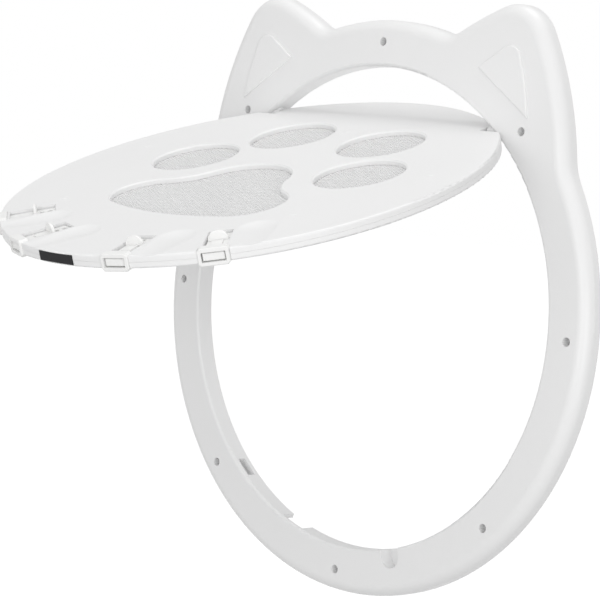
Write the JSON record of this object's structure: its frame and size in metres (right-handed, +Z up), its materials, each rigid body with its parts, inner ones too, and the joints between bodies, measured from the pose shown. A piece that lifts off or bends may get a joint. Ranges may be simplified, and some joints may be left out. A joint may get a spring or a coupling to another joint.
{
  "type": "pet door",
  "caption": "White cat-head pet door for a house door: round flap with mesh paw windows, magnet and sliding rim latches, hung open in an eared ring",
  "frame": {"origin": "centre of the screw circle and of the round opening, in the plane of the ring's back face", "axes": "X to the right seen from the front, +Z up the door, and the front faces -Y"},
  "size_m": [0.286, 0.2239, 0.2957],
  "materials": {
    "frame_white": "satin moulded",
    "flap_white": "satin moulded",
    "latch_white": "satin moulded",
    "mesh_white": "moulded mesh",
    "pin_steel": "drawn wire",
    "screw_steel": "zinc plated",
    "magnet_black": "bonded ferrite"
  },
  "bodies": {
    "frame": {"ring": "frame_white", "ring_magnet": "magnet_black", "hinge_pin_left": "pin_steel", "hinge_pin_right": "pin_steel"},
    "flap": {"flap_front_shell": "flap_white", "flap_back_shell": "flap_white", "flap_magnet": "magnet_black", "flap_screws": "screw_steel", "palm_mesh": "mesh_white", "toe_mesh_outer_left": "mesh_white", "toe_mesh_inner_left": "mesh_white", "toe_mesh_inner_right": "mesh_white", "toe_mesh_outer_right": "mesh_white", "latch_guide_outer_left": "latch_white", "latch_guide_inner_left": "latch_white", "latch_guide_inner_right": "latch_white", "latch_guide_outer_right": "latch_white"},
    "bolt_outer_left": {"latch_bolt_outer_left": "latch_white"},
    "bolt_inner_left": {"latch_bolt_inner_left": "latch_white"},
    "bolt_inner_right": {"latch_bolt_inner_right": "latch_white"},
    "bolt_outer_right": {"latch_bolt_outer_right": "latch_white"}
  },
  "joints": [
    {"name": "flap_hinge", "type": "hinge", "parent": "frame", "child": "flap", "pos_m": [0, -0.005, 0.092], "axis": [-1, 0, 0], "range_deg": [-160, 20]},
    {"name": "bolt_slide_outer_left", "type": "slide", "parent": "flap", "child": "bolt_outer_left", "axis": [-0.6293, -0.7303, -0.2658], "range_m": [0, 0.004]},
    {"name": "bolt_slide_inner_left", "type": "slide", "parent": "flap", "child": "bolt_inner_left", "axis": [-0.2924, -0.8986, -0.3271], "range_m": [0, 0.004]},
    {"name": "bolt_slide_inner_right", "type": "slide", "parent": "flap", "child": "bolt_inner_right", "axis": [0.2924, -0.8986, -0.3271], "range_m": [0, 0.004]},
    {"name": "bolt_slide_outer_right", "type": "slide", "parent": "flap", "child": "bolt_outer_right", "axis": [0.6293, -0.7303, -0.2658], "range_m": [0, 0.004]}
  ]
}
